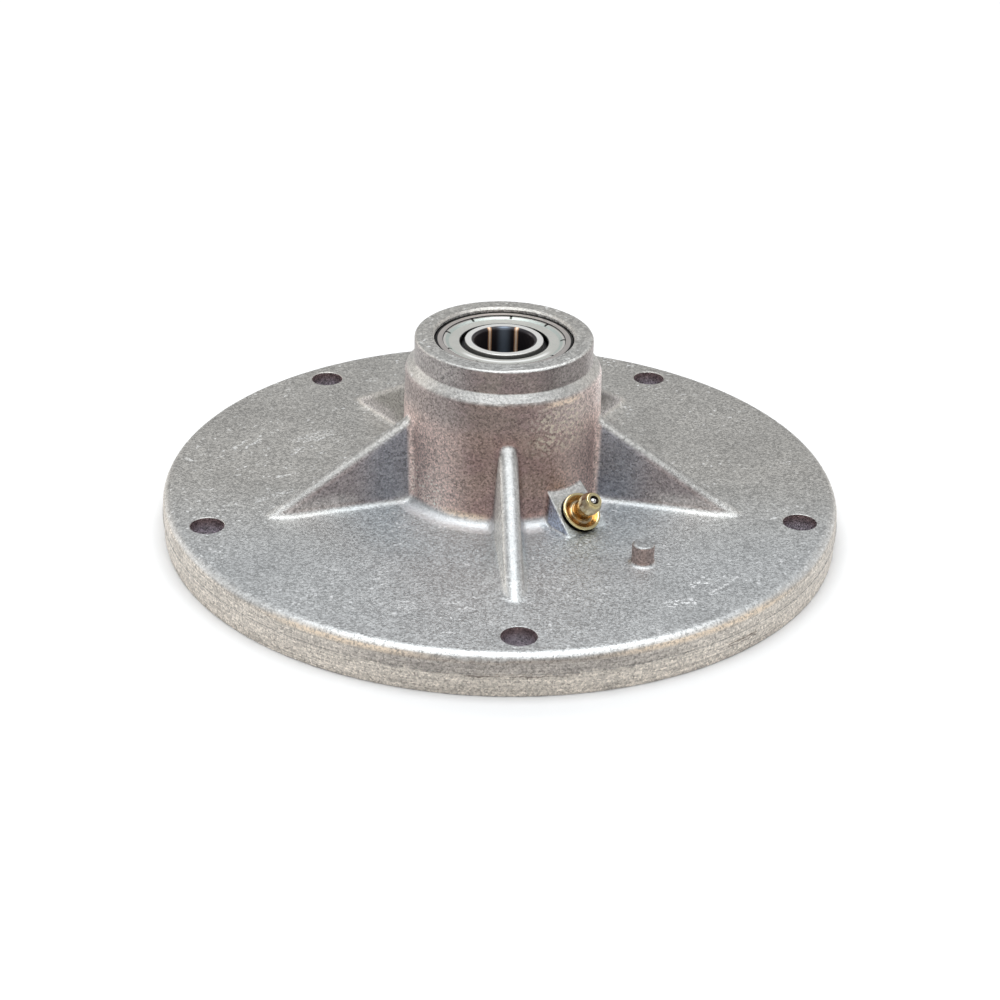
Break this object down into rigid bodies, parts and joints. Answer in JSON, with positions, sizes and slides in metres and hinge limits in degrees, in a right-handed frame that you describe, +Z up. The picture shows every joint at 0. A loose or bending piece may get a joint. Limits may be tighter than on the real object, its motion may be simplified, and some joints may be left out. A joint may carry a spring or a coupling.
{
  "type": "mower spindle housing",
  "caption": "Round cast flange with a ribbed hub that carries ball bearings for a blade shaft, with a slanted grease fitting at the foot of the hub.",
  "frame": {"origin": "shaft axis at the underside of the flange", "axes": "+Z up along the shaft axis, -Y through one bolt hole and its rib"},
  "size_m": [0.197, 0.197, 0.0587],
  "materials": {
    "cast_aluminium": "as cast",
    "bearing_steel": "ground",
    "shield_steel": "pressed",
    "cage_steel": "pressed",
    "ball_steel": "polished",
    "spacer_steel": "turned",
    "yellow_zinc": "plated",
    "spring_steel": "drawn"
  },
  "bodies": {
    "housing": {"spindle_housing": "cast_aluminium", "upper_bearing_outer_ring": "bearing_steel", "upper_bearing_shield": "shield_steel", "lower_bearing_outer_ring": "bearing_steel", "lower_bearing_shield": "shield_steel", "grease_fitting_body": "yellow_zinc", "grease_check_spring": "spring_steel"},
    "upper_inner_ring": {"upper_bearing_inner_ring": "bearing_steel"},
    "upper_ball_set": {"upper_bearing_cage_shield_half": "cage_steel", "upper_bearing_cage_open_half": "cage_steel", "upper_bearing_cage_rivets": "cage_steel", "upper_bearing_ball_1": "ball_steel", "upper_bearing_ball_2": "ball_steel", "upper_bearing_ball_3": "ball_steel", "upper_bearing_ball_4": "ball_steel", "upper_bearing_ball_5": "ball_steel", "upper_bearing_ball_6": "ball_steel", "upper_bearing_ball_7": "ball_steel", "upper_bearing_ball_8": "ball_steel"},
    "lower_inner_ring": {"lower_bearing_inner_ring": "bearing_steel", "bearing_spacer": "spacer_steel"},
    "lower_ball_set": {"lower_bearing_cage_shield_half": "cage_steel", "lower_bearing_cage_open_half": "cage_steel", "lower_bearing_cage_rivets": "cage_steel", "lower_bearing_ball_1": "ball_steel", "lower_bearing_ball_2": "ball_steel", "lower_bearing_ball_3": "ball_steel", "lower_bearing_ball_4": "ball_steel", "lower_bearing_ball_5": "ball_steel", "lower_bearing_ball_6": "ball_steel", "lower_bearing_ball_7": "ball_steel", "lower_bearing_ball_8": "ball_steel"},
    "check_ball": {"grease_check_ball": "ball_steel"}
  },
  "joints": [
    {"name": "upper_inner_ring_spin", "type": "hinge", "parent": "housing", "child": "upper_inner_ring", "pos_m": [0, 0, 0.0514], "axis": [0, 0, 1], "continuous": true},
    {"name": "upper_cage_spin", "type": "hinge", "parent": "housing", "child": "upper_ball_set", "pos_m": [0, 0, 0.0514], "axis": [0, 0, 1], "continuous": true},
    {"name": "lower_inner_ring_spin", "type": "hinge", "parent": "housing", "child": "lower_inner_ring", "pos_m": [0, 0, 0.0073], "axis": [0, 0, 1], "continuous": true},
    {"name": "lower_cage_spin", "type": "hinge", "parent": "housing", "child": "lower_ball_set", "pos_m": [0, 0, 0.0073], "axis": [0, 0, 1], "continuous": true},
    {"name": "check_ball_press", "type": "slide", "parent": "housing", "child": "check_ball", "axis": [-0.3856, 0.5308, -0.7547], "range_m": [0, 0.001], "stiffness_N_per_m": 200, "springref_m": -0.0015, "deforming": ["grease_check_spring"]}
  ],
  "couplings": [
    {"joint": "upper_cage_spin", "follows": "upper_inner_ring_spin", "ratio": 0.38163},
    {"joint": "lower_cage_spin", "follows": "lower_inner_ring_spin", "ratio": 0.38163}
  ]
}
